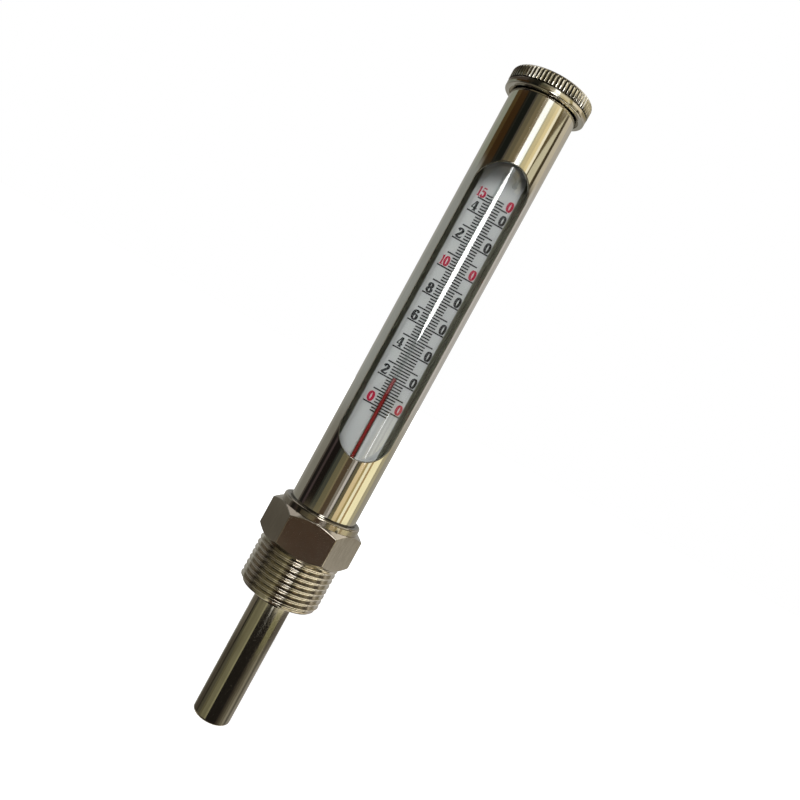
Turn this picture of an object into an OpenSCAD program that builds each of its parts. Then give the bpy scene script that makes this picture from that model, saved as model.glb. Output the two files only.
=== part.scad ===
// Stem thermometer: a glass thermometer with an enclosed scale in a screwed metal case.
// The seating plane under the hexagon is z = 0, the stem points down and the scale faces -Y.
// All lengths are in millimetres.

/* [Mounting thread] */
// Major diameter of the parallel pipe thread
thread_d = 26.44; // [25:0.01:34]
// Pitch of the pipe thread
thread_pitch = 1.814; // [1.6:0.001:2.4]
// Depth of a thread groove
thread_depth = 1.16; // [0.6:0.01:1.2]
// Width of the flat on each crest
thread_crest = 0.3; // [0.15:0.05:0.4]
// Length of the threaded boss under the hexagon
thread_len = 16; // [10:0.5:30]
// Chamfer at the lower end of the thread
thread_chamfer = 1.3; // [0.5:0.1:1.8]
// Distance from the seating plane to the first full crest
first_crest = 1.35; // [1:0.05:2.5]
// Width of the plain land above the first groove
runout_land = 0.3; // [0.1:0.05:0.4]

/* [Hexagon and collar] */
// Width of the hexagon across its flats
hex_af = 27; // [26.5:0.5:41]
// Height of the hexagon
hex_h = 12; // [9:0.5:20]
// Distance inwards from the flats to the circle where the corner bevels begin
hex_bevel_in = 0.2; // [0:0.05:0.6]
// Slope of the corner bevels
hex_bevel_angle = 33; // [15:1:40]
// Turn of the hexagon from the direction that the window faces
hex_turn = -3.4; // [-30:0.1:30]
// Diameter of the round collar on the hexagon
collar_d = 26.1; // [25:0.1:34]
// Height of the collar
collar_h = 2.2; // [1.5:0.1:5]
// Rounding of the collar's upper edge
collar_round = 0.7; // [0.3:0.1:1.2]
// Depth of the socket that the case screws into
socket_depth = 8; // [6:0.5:10]
// Chamfer at the mouth of the socket
socket_chamfer = 0.5; // [0.2:0.1:0.8]
// Diameter of the seat for the lower cushion
seat_d = 16.1; // [14:0.1:18]
// Height of the seat's floor
seat_floor = 2.2; // [1:0.1:4]

/* [Stem] */
// Outer diameter of the stem
stem_d = 12.4; // [10:0.1:16]
// Wall of the stem
stem_wall = 1; // [0.5:0.1:1.5]
// Thickness of the closed end of the stem
stem_end = 2; // [1.5:0.1:4]
// Rounding of the edge at the closed end
stem_round = 1.1; // [0.5:0.1:2]
// Distance from the seating plane to the end of the stem
stem_reach = 60; // [50:1:250]
// Length of the stem's spigot inside the threaded boss
stem_seat = 10; // [6:0.5:14]
// Depth that the spigot is turned down
spigot_cut = 0.2; // [0.1:0.05:0.4]
// Width of the brazed neck around the stem
braze_w = 0.4; // [0.2:0.05:1]
// Length of the brazed neck below the thread
braze_len = 2; // [0.5:0.1:3]

/* [Case] */
// Outer diameter of the case tube
case_d = 22; // [21.4:0.1:22.5]
// Wall of the case tube
case_wall = 1; // [0.6:0.1:1.1]
// Height of the case tube's upper rim above the seating plane
case_top = 158.6; // [158:0.1:200]
// Width of the window
window_w = 17.2; // [12:0.1:18]
// Turn of the window about the axis from the front, towards the right
window_turn = 1; // [-5:0.1:5]
// Height of the window's lower end
window_low = 33.9; // [30:0.1:45]
// Height of the window's upper end
window_high = 132.6; // [128:0.1:135]

/* [Cap] */
// Outer diameter of the knurled band
cap_d = 27; // [26:0.1:32]
// Distance from the lower edge of the cap to its top
cap_h = 6.4; // [6.2:0.05:9]
// Thickness of the cap's top
cap_top_t = 1.35; // [1:0.05:2.5]
// Rounding between the cap's side and its top
cap_round = 1.5; // [0.8:0.1:1.8]
// Diameter of the plain band under the knurling
cap_band_d = 26.8; // [25.5:0.1:31]
// Height of the plain band
cap_band_h = 1.95; // [1:0.05:3]
// Rounding of the cap's lower edge
cap_edge_round = 0.5; // [0.2:0.1:0.8]
// Depth of the neck between the plain band and the knurling
cap_neck_depth = 0.4; // [0.1:0.05:0.5]
// Height of the neck
cap_neck_h = 0.35; // [0.2:0.05:0.8]
// Width of the relief around the case at the cap's mouth
cap_mouth_w = 0.8; // [0.3:0.1:1.2]
// Depth of the relief at the cap's mouth
cap_mouth_depth = 1.2; // [0.4:0.1:2]
// Number of knurl teeth
knurl_count = 64; // [40:1:80]
// Depth of the knurl grooves
knurl_depth = 0.45; // [0.2:0.05:0.6]

/* [Glass] */
// Space between the glass sheath and the bore of the case tube
sheath_play = 1; // [0.5:0.1:1.5]
// Wall of the sheath
sheath_wall = 1; // [0.6:0.1:1.2]
// Height of the top of the sheath's dome
dome_top = 154; // [153:0.1:154.2]
// Height where the sheath has narrowed to the glass stem
shoulder_low = 5; // [4:0.5:7]
// Height where the sheath reaches its full diameter
shoulder_high = 13; // [12:0.5:14]
// Diameter of the glass stem below the sheath
glass_stem_d = 7.5; // [6:0.1:8]
// Diameter of the bulb
bulb_d = 7.8; // [6:0.1:8.4]
// Wall of the bulb
bulb_wall = 0.8; // [0.5:0.1:1.2]
// Length of the bulb
bulb_len = 32; // [25:1:34]
// Gap between the bulb and the closed end of the stem
bulb_gap = 2; // [1:0.5:5]
// Outer diameter of the capillary tube
capillary_d = 1.9; // [1.6:0.1:2.4]
// Diameter of the capillary bore
bore_d = 0.84; // [0.5:0.02:1]
// Radius of the hook at the top of the capillary
hook_r = 2; // [1.5:0.1:2.5]
// Height of the hook's centre
hook_z = 130.5; // [125:0.5:132]
// Length of the hook's straight end
hook_tail = 0.8; // [0:0.1:3]
// Height where the hollow of the sheath begins
cavity_low = 9.5; // [9:0.1:11]
// Height where the hollow reaches its full width
cavity_high = 15; // [14.5:0.1:15.2]
// Diameter of the flat floor of the hollow
cavity_floor_d = 2.5; // [2.4:0.1:5]
// How far the column's lower end stays below the window at its highest reading
column_hidden = 2.2; // [1:0.1:4]
// Length of channel left free under the column at its lowest reading
column_spare = 1; // [0.5:0.1:1.5]

/* [Scale] */
// Space between the edges of the milk-glass plate and the sheath
plate_play = 0.79; // [0.3:0.01:2]
// How far the plate lies to the right of the axis
plate_shift = 0.25; // [-0.3:0.05:0.3]
// How far the middle of the marks lies to the right of the plate's middle
mark_shift = 0.5; // [-0.5:0.05:0.5]
// Thickness of the scale plate
plate_t = 1; // [0.6:0.1:1.6]
// Height of the plate's lower end
plate_low = 17.7; // [17.5:0.1:20]
// Height of the plate's upper end
plate_high = 138; // [136.5:0.5:139]
// Height of the mark for 0 degrees
zero_z = 50.27; // [45:0.01:60]
// Length of scale for one degree
degree_len = 0.4747; // [0.3:0.0001:0.5]
// Degrees at the lowest mark
lowest_degrees = -4; // [-10:2:0]
// Degrees at the highest mark
highest_degrees = 154; // [100:2:156]
// Degrees from one mark to the next
step_degrees = 2; // [1:1:5]
// Half length of an ordinary mark
mark_short = 3; // [1.5:0.1:4]
// Distance from the plate's edge to a mark at every ten degrees
mark_mid_margin = 1.7; // [1:0.05:2.5]
// Distance from the plate's edge to a mark at every twenty degrees
mark_long_margin = 0.55; // [0.2:0.05:1.5]
// Width of the lines of the scale
mark_line = 0.45; // [0.15:0.05:0.5]
// Thickness of the printed lines
mark_t = 0.04; // [0.02:0.01:0.1]
// Temperature that the liquid shows
shown_degrees = 21.5; // [-4:0.5:150]

/* [Supports] */
// Height of each centring ring around the sheath
ring_h = 7; // [3:0.5:8]
// Distance from a centring ring to the window
ring_gap = 6; // [5:0.5:8]
// Thickness of the gaskets
gasket_t = 0.9; // [0.5:0.1:1.2]
// Height of the cork plugs at the ends of the scale plate
plug_h = 2.4; // [1.5:0.1:3]
// Height of the band that ties the capillary to the plate
tie_h = 1; // [0.5:0.1:1.2]
// Thickness of the band
tie_t = 0.2; // [0.1:0.05:0.3]
// Distance from the window down to the middle of the band
tie_drop = 5; // [3:0.5:8]
// Height of the lower cushion's upper face
cushion_top = 9.5; // [7:0.1:12]
// Height of the upper cushion's lower rim above the start of the dome
pad_rise = 5; // [3.5:0.1:7]
// Distance from the upper cushion to the case tube
pad_inset = 0.6; // [0.2:0.1:1]
// Distance from the gaskets' outer edge to the outside of the case tube
gasket_inset = 0.1; // [0.05:0.05:0.3]
// How far the cap gasket reaches into the bore of the case tube
gasket_lip = 0.4; // [0:0.1:0.8]
// Length of the fibre plug at the top of the stem
fibre_len = 6; // [3:0.5:8]

/* [Clearances] */
// Radial clearance of screwed and sliding fits
screw_gap = 0.05; // [0.02:0.01:0.1]
// Gap between pieces that only rest against each other
seat_gap = 0.05; // [0.02:0.01:0.1]
// Gap between a cushion or gasket and the glass
cushion_gap = 0.3; // [0.1:0.05:0.4]
// Gap between a centring ring and the sheath
ring_clear = 0.02; // [0.01:0.01:0.1]
// Gap between the column and its bore
column_gap = 0.035; // [0.01:0.005:0.1]
// Gap between the capillary and the printed lines behind it
print_gap = 0.03; // [0.01:0.01:0.1]

/* [Hidden] */
$fn = 96;

// Half of the 55 degree angle between two thread flanks
flank_angle = 27.5;
// Overlap that carries a cut past the surface it leaves
cut = 1;

thread_r = thread_d / 2;
flank_w = thread_depth * tan(flank_angle);
crest_count = floor((thread_len - thread_chamfer - first_crest) / thread_pitch) + 1;
runout_w = first_crest - thread_crest / 2 - runout_land;
runout_depth = min(runout_w / 2 / tan(flank_angle), thread_depth);

bevel_r = hex_af / 2 - hex_bevel_in;
collar_r = collar_d / 2;
collar_top = hex_h + collar_h;
socket_floor = collar_top - socket_depth;
socket_r = case_d / 2 + screw_gap;

stem_r = stem_d / 2;
stem_bore_r = stem_r - stem_wall;
stem_top = stem_seat - thread_len;
spigot_r = stem_r - spigot_cut;
neck_low = -thread_len - braze_len;
seat_r = seat_d / 2;

case_r = case_d / 2;
case_bore_r = case_r - case_wall;
case_low = socket_floor + gasket_t + 2 * seat_gap;

cap_r = cap_d / 2;
cap_low = case_top + seat_gap + gasket_t + seat_gap + cap_top_t - cap_h;
cap_inside = cap_low + cap_h - cap_top_t;
knurl_low = cap_low + cap_band_h + cap_neck_h;

sheath_r = case_bore_r - sheath_play;
sheath_bore_r = sheath_r - sheath_wall;
dome_z = dome_top - sheath_r;
glass_stem_r = glass_stem_d / 2;
bulb_r = bulb_d / 2;
bulb_low = stem_end + bulb_gap - stem_reach;
bulb_high = bulb_low + bulb_len;
bulb_bore_r = bulb_r - bulb_wall;
bore_r = bore_d / 2;
capillary_r = capillary_d / 2;
capillary_low = cavity_low + seat_gap;
saddle_low = plate_low - seat_gap - plug_h;

plate_front = capillary_r + print_gap + mark_t;
plate_back = plate_front + plate_t;
plate_half = sqrt(sheath_bore_r * sheath_bore_r - plate_back * plate_back) - plate_play;
mark_mid = plate_half - mark_mid_margin;
mark_long = plate_half - mark_long_margin;
tie_low = window_low - tie_drop - tie_h / 2;

column_r = bore_r - column_gap;
column_top = zero_z + shown_degrees * degree_len;
column_travel = (highest_degrees - shown_degrees) * degree_len;
column_drop = (shown_degrees - lowest_degrees) * degree_len;
column_low = window_low - column_travel - column_hidden;
column_hole_low = column_low - column_drop - column_spare;

// Solid turned about the axis from the profile drawn in X and Y
module turned() {
    rotate_extrude() children();
}

// Rectangle in a profile between two radii and two heights
module bar(r0, z0, r1, z1) {
    translate([r0, z0]) square([r1 - r0, z1 - z0]);
}

// Rectangle whose upper outer corner is an arc
module bar_round_top(r0, z0, r1, z1, round) {
    bar(r0, z0, r1 - round, z1);
    bar(r0, z0, r1, z1 - round);
    translate([r1 - round, z1 - round]) circle(round);
}

// Rectangle whose lower outer corner is an arc
module bar_round_low(r0, z0, r1, z1, round) {
    bar(r0, z0, r1 - round, z1);
    bar(r0, z0 + round, r1, z1);
    translate([r1 - round, z0 + round]) circle(round);
}

// Half disc on the axis, above or below its centre
module half_disc(z, r, side) {
    intersection() {
        translate([0, z]) circle(r);
        translate([0, side > 0 ? z : z - r]) square([r, r]);
    }
}

// Ring with a rectangular section
module ring(r_in, r_out, z0, z1) {
    turned() bar(r_in, z0, r_out, z1);
}

// Points of one thread ring, from its upper root to its lower root
function crest_points(z) = [
    [thread_r - thread_depth, z + thread_crest / 2 + flank_w],
    [thread_r, z + thread_crest / 2],
    [thread_r, z - thread_crest / 2],
    [thread_r - thread_depth, z - thread_crest / 2 - flank_w]
];

// Section of the threaded boss: a run-out land, then one ring for each turn of the thread
module thread_section() {
    crests = [for (i = [1 : crest_count - 1]) each crest_points(-first_crest - i * thread_pitch)];
    first = [
        [thread_r, 0],
        [thread_r, -runout_land],
        [thread_r - runout_depth, -runout_land - runout_w / 2],
        [thread_r, -first_crest + thread_crest / 2],
        [thread_r, -first_crest - thread_crest / 2],
        [thread_r - thread_depth, -first_crest - thread_crest / 2 - flank_w]
    ];
    end_r = thread_r - thread_depth;
    intersection() {
        polygon(concat([[0, 0]], first, crests, [[end_r, -thread_len], [0, -thread_len]]));
        polygon([
            [0, 0], [thread_r + cut, 0], [thread_r + cut, thread_chamfer + cut - thread_len],
            [thread_r - thread_chamfer, -thread_len], [0, -thread_len]
        ]);
    }
}

// Hexagon with bevelled corners at both ends
module hexagon() {
    reach = hex_af / 2 / cos(30) + cut;
    rise = (reach - bevel_r) * tan(hex_bevel_angle);
    intersection() {
        rotate([0, 0, hex_turn]) cylinder(h = hex_h, d = hex_af / cos(30), $fn = 6);
        turned() polygon([
            [0, 0], [bevel_r, 0], [reach, rise], [reach, hex_h - rise], [bevel_r, hex_h],
            [0, hex_h]
        ]);
    }
}

// Section of everything that is bored out of the connector
module connector_bores() {
    bar(0, socket_floor, socket_r, collar_top + cut);
    polygon([
        [0, collar_top - socket_chamfer], [socket_r, collar_top - socket_chamfer],
        [socket_r + socket_chamfer, collar_top], [socket_r + socket_chamfer, collar_top + cut],
        [0, collar_top + cut]
    ]);
    bar(0, seat_floor, seat_r, socket_floor + cut);
    bar(0, stem_top - cut, stem_bore_r, seat_floor + cut);
    bar(0, neck_low - cut, spigot_r + seat_gap, stem_top + seat_gap);
}

module connector() {
    neck_r = stem_r + braze_w;
    color([0.62, 0.60, 0.55]) difference() {
        union() {
            turned() thread_section();
            hexagon();
            turned() bar_round_top(0, hex_h - cut, collar_r, collar_top, collar_round);
            turned() polygon([
                [0, cut - thread_len], [neck_r + braze_w + cut, cut - thread_len],
                [neck_r + braze_w, -thread_len], [neck_r, neck_low], [0, neck_low]
            ]);
        }
        turned() connector_bores();
    }
}

module stem_tube() {
    color([0.52, 0.50, 0.44]) turned() difference() {
        union() {
            bar_round_low(0, -stem_reach, stem_r, neck_low, stem_round);
            bar(0, neck_low - cut, spigot_r, stem_top);
        }
        bar(0, stem_end - stem_reach, stem_bore_r, stem_top + cut);
    }
}

// Powder around the bulb that carries the heat of the stem's wall to it
module heat_packing() {
    packing_top = -thread_len - fibre_len / 2;
    color([0.42, 0.42, 0.44]) turned() difference() {
        bar(0, stem_end + seat_gap - stem_reach, stem_bore_r - seat_gap, packing_top);
        bar(0, bulb_high - seat_gap, glass_stem_r + seat_gap, packing_top + cut);
        bar(0, bulb_low + bulb_r, bulb_r + seat_gap, bulb_high + seat_gap);
        half_disc(bulb_low + bulb_r, bulb_r + seat_gap, -1);
    }
}

module fibre_plug() {
    plug_low = seat_gap - thread_len - fibre_len / 2;
    color([0.86, 0.84, 0.78])
        ring(glass_stem_r + seat_gap, stem_bore_r - seat_gap, plug_low, plug_low + fibre_len);
}

// Rubber seat that the narrowing end of the sheath stands in
module lower_cushion() {
    slope = (sheath_r - glass_stem_r) / (shoulder_high - shoulder_low);
    inner = glass_stem_r + cushion_gap;
    color([0.16, 0.16, 0.17]) turned() polygon([
        [inner, seat_floor + seat_gap], [seat_r - seat_gap, seat_floor + seat_gap],
        [seat_r - seat_gap, cushion_top],
        [inner + slope * (cushion_top - shoulder_low), cushion_top],
        [inner, shoulder_low]
    ]);
}

// Outline of the glass, from the dome down to the bulb
module glass_outline() {
    half_disc(dome_z, sheath_r, 1);
    bar(0, shoulder_high, sheath_r, dome_z);
    polygon([
        [0, shoulder_low], [glass_stem_r, shoulder_low], [sheath_r, shoulder_high],
        [0, shoulder_high]
    ]);
    bar(0, bulb_high - cut, glass_stem_r, shoulder_low);
    bar(0, bulb_low + bulb_r, bulb_r, bulb_high);
    half_disc(bulb_low + bulb_r, bulb_r, -1);
}

// Hollow for the scale, the bore below it and the hollow of the bulb
module glass_hollow() {
    half_disc(dome_z, sheath_bore_r, 1);
    bar(0, cavity_high, sheath_bore_r, dome_z);
    polygon([
        [0, cavity_low], [cavity_floor_d / 2, cavity_low], [sheath_bore_r, cavity_high],
        [0, cavity_high]
    ]);
    bar(0, bulb_high - bulb_wall - cut, bore_r, cavity_low + cut);
    bar(0, bulb_low + bulb_r, bulb_bore_r, bulb_high - bulb_wall);
    half_disc(bulb_low + bulb_r, bulb_bore_r, -1);
}

module glass_sheath() {
    color([0.80, 0.88, 0.88, 0.35]) turned() difference() {
        glass_outline();
        glass_hollow();
    }
}

// Straight rod that bends over into a hook with a round end, turned towards +X
module hooked_rod(r, z0, end_z) {
    translate([0, 0, z0]) cylinder(h = hook_z - z0, r = r);
    translate([hook_r, 0, hook_z]) rotate([90, 0, 0])
        rotate_extrude(angle = 180) translate([hook_r, 0]) circle(r);
    translate([2 * hook_r, 0, end_z]) cylinder(h = hook_z - end_z, r = r);
    translate([2 * hook_r, 0, end_z]) sphere(r);
}

module capillary() {
    hook_end = hook_z - hook_tail;
    color([0.86, 0.90, 0.88, 0.45]) difference() {
        hooked_rod(capillary_r, capillary_low, hook_end);
        hooked_rod(bore_r, capillary_low - cut, hook_end);
    }
}

module scale_plate() {
    color([0.93, 0.94, 0.92])
        translate([plate_shift - plate_half, plate_front, plate_low])
            cube([2 * plate_half, plate_t, plate_high - plate_low]);
}

// Half length of the mark for a temperature
function mark_half(degrees) =
    degrees % 20 == 0 ? mark_long : (degrees % 10 == 0 ? mark_mid : mark_short);

module scale_marks() {
    color([0.05, 0.05, 0.06])
        for (degrees = [lowest_degrees : step_degrees : highest_degrees]) {
            half = mark_half(degrees);
            left = plate_shift + mark_shift - half;
            low = zero_z + degrees * degree_len - mark_line / 2;
            translate([left, plate_front - mark_t, low]) cube([2 * half, mark_t, mark_line]);
        }
}

// Cork on the floor of the sheath that the scale plate stands on
module scale_saddle() {
    color([0.66, 0.50, 0.34])
        ring(capillary_r + seat_gap, sheath_bore_r - seat_gap, saddle_low, saddle_low + plug_h);
}

// Cork above the scale plate that keeps it from shaking
module scale_plug() {
    color([0.66, 0.50, 0.34])
        translate([0, 0, plate_high + seat_gap]) cylinder(h = plug_h, r = sheath_bore_r - seat_gap);
}

// Outline around the plate and the capillary in front of it
module tie_outline(gap) {
    left = plate_shift - plate_half - gap;
    right = plate_shift + plate_half + gap;
    front = plate_front - gap;
    back = plate_back + gap;
    nose = capillary_r + gap;
    polygon([
        [left, back], [left, front], [-nose, -nose], [nose, -nose], [right, front], [right, back]
    ]);
}

module capillary_tie() {
    color([0.72, 0.70, 0.66])
        translate([0, 0, tie_low]) linear_extrude(tie_h) difference() {
            tie_outline(seat_gap + tie_t);
            tie_outline(seat_gap);
        }
}

// Liquid in the bulb, with the channel that the sliding column needs
module bulb_liquid() {
    liquid_r = bulb_bore_r - seat_gap;
    color([0.60, 0.05, 0.06]) turned() difference() {
        union() {
            bar(0, bulb_low + bulb_r, liquid_r, bulb_high - bulb_wall - seat_gap);
            half_disc(bulb_low + bulb_r, liquid_r, -1);
        }
        bar(0, column_hole_low, bore_r, bulb_high);
    }
}

module liquid_column() {
    color([0.70, 0.04, 0.07])
        translate([0, 0, column_low]) cylinder(h = column_top - column_low, r = column_r);
}

// Rubber ring that centres the sheath in the case tube
module centring_ring(z) {
    color([0.14, 0.14, 0.15]) ring(sheath_r + ring_clear, case_bore_r - screw_gap, z, z + ring_h);
}

module lower_ring() {
    centring_ring(window_low - ring_gap - ring_h);
}

module upper_ring() {
    centring_ring(window_high + ring_gap);
}

module case_gasket() {
    low = socket_floor + seat_gap;
    color([0.45, 0.20, 0.14])
        ring(sheath_r + cushion_gap, case_r - gasket_inset, low, low + gasket_t);
}

// Slot with round ends through the front wall of the case
module window() {
    half = window_w / 2;
    rotate([0, 0, window_turn]) rotate([90, 0, 0]) {
        translate([0, window_low + half, 0]) cylinder(h = case_d, r = half);
        translate([0, window_high - half, 0]) cylinder(h = case_d, r = half);
        translate([-half, window_low + half, 0])
            cube([window_w, window_high - window_low - window_w, case_d]);
    }
}

module case_tube() {
    color([0.74, 0.73, 0.69]) difference() {
        ring(case_bore_r, case_r, case_low, case_top);
        window();
    }
}

// Rubber pad under the cap, hollowed to sit over the dome of the sheath
module upper_cushion() {
    color([0.16, 0.16, 0.17]) turned() difference() {
        bar(0, dome_z + pad_rise, case_bore_r - pad_inset, cap_inside - seat_gap);
        half_disc(dome_z, sheath_r + cushion_gap, 1);
    }
}

module cap_gasket() {
    low = case_top + seat_gap;
    color([0.45, 0.20, 0.14])
        ring(case_bore_r - gasket_lip, case_r - gasket_inset, low, low + gasket_t);
}

// Circle with straight V grooves around it
module knurl_outline() {
    reach = knurl_depth + cut;
    difference() {
        circle(cap_r);
        for (i = [0 : knurl_count - 1])
            rotate(i * 360 / knurl_count)
                polygon([[cap_r - knurl_depth, 0], [cap_r + cut, reach], [cap_r + cut, -reach]]);
    }
}

module cap() {
    top = cap_low + cap_h;
    color([0.66, 0.64, 0.58]) difference() {
        union() {
            intersection() {
                translate([0, 0, knurl_low]) linear_extrude(top - knurl_low) knurl_outline();
                turned() bar_round_top(0, knurl_low, cap_r, top, cap_round);
            }
            turned() bar(0, cap_low + cap_band_h - cut, cap_band_d / 2 - cap_neck_depth, knurl_low + cut);
            turned() bar_round_low(0, cap_low, cap_band_d / 2, cap_low + cap_band_h, cap_edge_round);
        }
        turned() bar(0, cap_low - cut, case_r + screw_gap, cap_inside);
        turned() bar(0, cap_low - cut, case_r + cap_mouth_w, cap_low + cap_mouth_depth);
    }
}

connector();
stem_tube();
heat_packing();
fibre_plug();
lower_cushion();
glass_sheath();
capillary();
scale_plate();
scale_marks();
scale_saddle();
scale_plug();
capillary_tie();
bulb_liquid();
liquid_column();
lower_ring();
upper_ring();
case_gasket();
case_tube();
upper_cushion();
cap_gasket();
cap();
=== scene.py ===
import math

import bmesh
import bpy
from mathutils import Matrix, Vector
from mathutils.geometry import delaunay_2d_cdt


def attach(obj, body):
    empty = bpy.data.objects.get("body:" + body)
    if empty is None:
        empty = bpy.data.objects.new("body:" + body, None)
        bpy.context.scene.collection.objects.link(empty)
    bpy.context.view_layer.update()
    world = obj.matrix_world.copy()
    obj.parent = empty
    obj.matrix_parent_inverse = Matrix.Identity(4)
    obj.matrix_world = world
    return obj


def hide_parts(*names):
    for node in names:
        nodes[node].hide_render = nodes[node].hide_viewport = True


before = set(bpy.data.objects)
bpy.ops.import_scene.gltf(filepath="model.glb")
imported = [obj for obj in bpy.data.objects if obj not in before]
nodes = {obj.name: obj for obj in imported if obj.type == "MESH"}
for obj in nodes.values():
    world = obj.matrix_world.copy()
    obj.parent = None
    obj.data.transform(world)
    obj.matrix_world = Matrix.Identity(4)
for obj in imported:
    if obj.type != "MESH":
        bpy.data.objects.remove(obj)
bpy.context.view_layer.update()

scene = bpy.context.scene
MM = 0.001  # lengths are in millimetres, and mesh_object scales them


# Camera, fitted to the photograph

camera_data = bpy.data.cameras.new("camera")
camera_data.lens = 38.56
camera_data.sensor_width = 36.0
camera_data.clip_start = 0.01
camera = bpy.data.objects.new("camera", camera_data)
camera.location = (-0.0172985, -0.2639237, 0.06576)
camera.rotation_euler = [math.radians(v) for v in (87.454448, -28.727959, -3.511757)]
scene.collection.objects.link(camera)
scene.camera = camera
scene.view_settings.view_transform = "Standard"


# Material tools

class Tree:
    """A material's or world's nodes, with short ways to add and join them."""

    def __init__(self, owner):
        owner.use_nodes = True
        self.tree = owner.node_tree
        self.tree.nodes.clear()

    def add(self, kind, **inputs):
        node = self.tree.nodes.new(kind)
        for name, value in inputs.items():
            if name.startswith("_"):
                setattr(node, name[1:], value)
            else:
                self.put(node.inputs[name.replace("_", " ")], value)
        return node

    def put(self, socket, value):
        if isinstance(value, bpy.types.NodeSocket):
            self.tree.links.new(value, socket)
        else:
            socket.default_value = value

    def math(self, operation, *values):
        node = self.add("ShaderNodeMath", _operation=operation)
        for socket, value in zip(node.inputs, values):
            self.put(socket, value)
        return node.outputs[0]

    def length(self, x, y):
        return self.math("SQRT", self.math("ADD", self.math("MULTIPLY", x, x), self.math("MULTIPLY", y, y)))

    def point(self):
        """Coordinates in the object's own frame."""
        return self.add("ShaderNodeTexCoord").outputs["Object"]

    def point_xyz(self):
        return self.add("ShaderNodeSeparateXYZ", Vector=self.point()).outputs

    def ray(self, kind):
        """1 for rays of this kind, else 0."""
        return self.add("ShaderNodeLightPath").outputs[f"Is {kind} Ray"]

    def noise(self, scale, size=1.0, detail=3.0):
        place = self.add("ShaderNodeMapping", Vector=self.point(), Scale=scale).outputs[0]
        return self.add("ShaderNodeTexNoise", Vector=place, Scale=size, Detail=detail).outputs["Fac"]

    def spread(self, value, low, high, start=0.3, end=0.7):
        """Values from start to end, mapped to low to high and kept between them."""
        node = self.add("ShaderNodeMapRange", Value=value, From_Min=start, From_Max=end, To_Min=low, To_Max=high)
        return node.outputs["Result"]

    def blend(self, factor, a, b):
        node = self.add("ShaderNodeMix", _data_type="RGBA")
        self.put(node.inputs["Factor"], factor)
        self.put(node.inputs["A"], a)
        self.put(node.inputs["B"], b)
        return node.outputs["Result"]

    def bump(self, height, depth):
        return self.add("ShaderNodeBump", Height=height, Strength=1.0, Distance=depth).outputs["Normal"]

    def either(self, factor, a, b):
        node = self.add("ShaderNodeMixShader", Fac=factor)
        self.put(node.inputs[1], a.outputs[0])
        self.put(node.inputs[2], b.outputs[0])
        return node.outputs[0]

    def out(self, shader, kind="ShaderNodeOutputMaterial"):
        self.add(kind, Surface=shader)


def new_paint(name):
    """A material and the tree of its nodes."""
    material = bpy.data.materials.new(name)
    return material, Tree(material)


CLOUD_SIZE, TARNISH_SHARE, STREAK_SHARE, SPECK_SHARE, TARNISH_ROUGH = 160.0, 0.4, 0.35, 0.5, 0.03
# How dark, how soft at its ends and what colour the painted shade in grooves is
GROOVE_SHADE_SHARE, GROOVE_SHADE_SOFT, GROOVE_SHADE_COLOR = 0.8, 0.2, (0.03, 0.026, 0.02, 1)


def metal(name, color, dark, rough, depth, streak, spots=0, groove_shade=None, metallic=1.0):
    """Plated metal with fine streaks, cloudy tarnish and small specks.

    groove_shade is (inner radius, outer radius, low, high): painted shade in the grooves and recesses, darkest at
    the inner radius.
    """
    material, t = new_paint(name)
    lines = t.noise(streak, 1.0, 4.0)
    clouds = t.noise((1, 1, 0.6), CLOUD_SIZE, 3.0)
    tarnish = t.spread(clouds, 0.0, 1.0, 0.35, 0.7)
    wear = t.math("ADD", t.math("MULTIPLY", tarnish, TARNISH_SHARE),
                  t.spread(lines, 0.0, STREAK_SHARE, 0.35, 0.65))
    shade = t.blend(wear, (*color, 1), (*dark, 1))
    if spots:
        specks = t.noise((1, 1, 1), spots, 2.0)
        shade = t.blend(t.spread(specks, 0.0, SPECK_SHARE, 0.70, 0.78), shade, (*dark, 1))
    # Painted shade: the colour darkens towards the axis between two heights, standing in for the shade in grooves
    # and recesses
    if groove_shade:
        inside, outside, low, high = groove_shade
        x, y, z = t.point_xyz()
        groove_shade_mask = t.math("MULTIPLY", t.spread(z, 1.0, 0.0, (high - GROOVE_SHADE_SOFT) * MM, high * MM),
                      t.spread(z, 0.0, 1.0, (low - GROOVE_SHADE_SOFT) * MM, low * MM))
        groove_shade_mask = t.math("MULTIPLY", groove_shade_mask, t.spread(t.length(x, y), GROOVE_SHADE_SHARE, 0.0, inside * MM, outside * MM))
        shade = t.blend(groove_shade_mask, shade, GROOVE_SHADE_COLOR)
    roughness = t.math("ADD", t.spread(lines, *rough), t.math("MULTIPLY", tarnish, TARNISH_ROUGH))
    shader = t.add("ShaderNodeBsdfPrincipled", Base_Color=shade, Metallic=metallic, Roughness=roughness,
                   Normal=t.bump(lines, depth))
    t.out(shader.outputs[0])
    return material


MOTTLE_SIZE, GRAIN_ROUGH = 0.2, 0.1


def plain(name, color, shade, rough, grain, depth, **inputs):
    """A non-metal with mottled colour and a fine grained surface."""
    material, t = new_paint(name)
    mottle = t.noise((1, 1, 1), grain * MOTTLE_SIZE, 3.0)
    fine = t.noise((1, 1, 1), grain, 2.0)
    tint = t.blend(t.spread(mottle, 0.0, 1.0), (*color, 1), (*shade, 1))
    shader = t.add("ShaderNodeBsdfPrincipled", Base_Color=tint,
                   Roughness=t.spread(fine, rough, rough + GRAIN_ROUGH), Normal=t.bump(fine, depth), **inputs)
    t.out(shader.outputs[0])
    return material


MILK_CLOUDS, MILK_ROUGH = 180.0, 0.4


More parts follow.
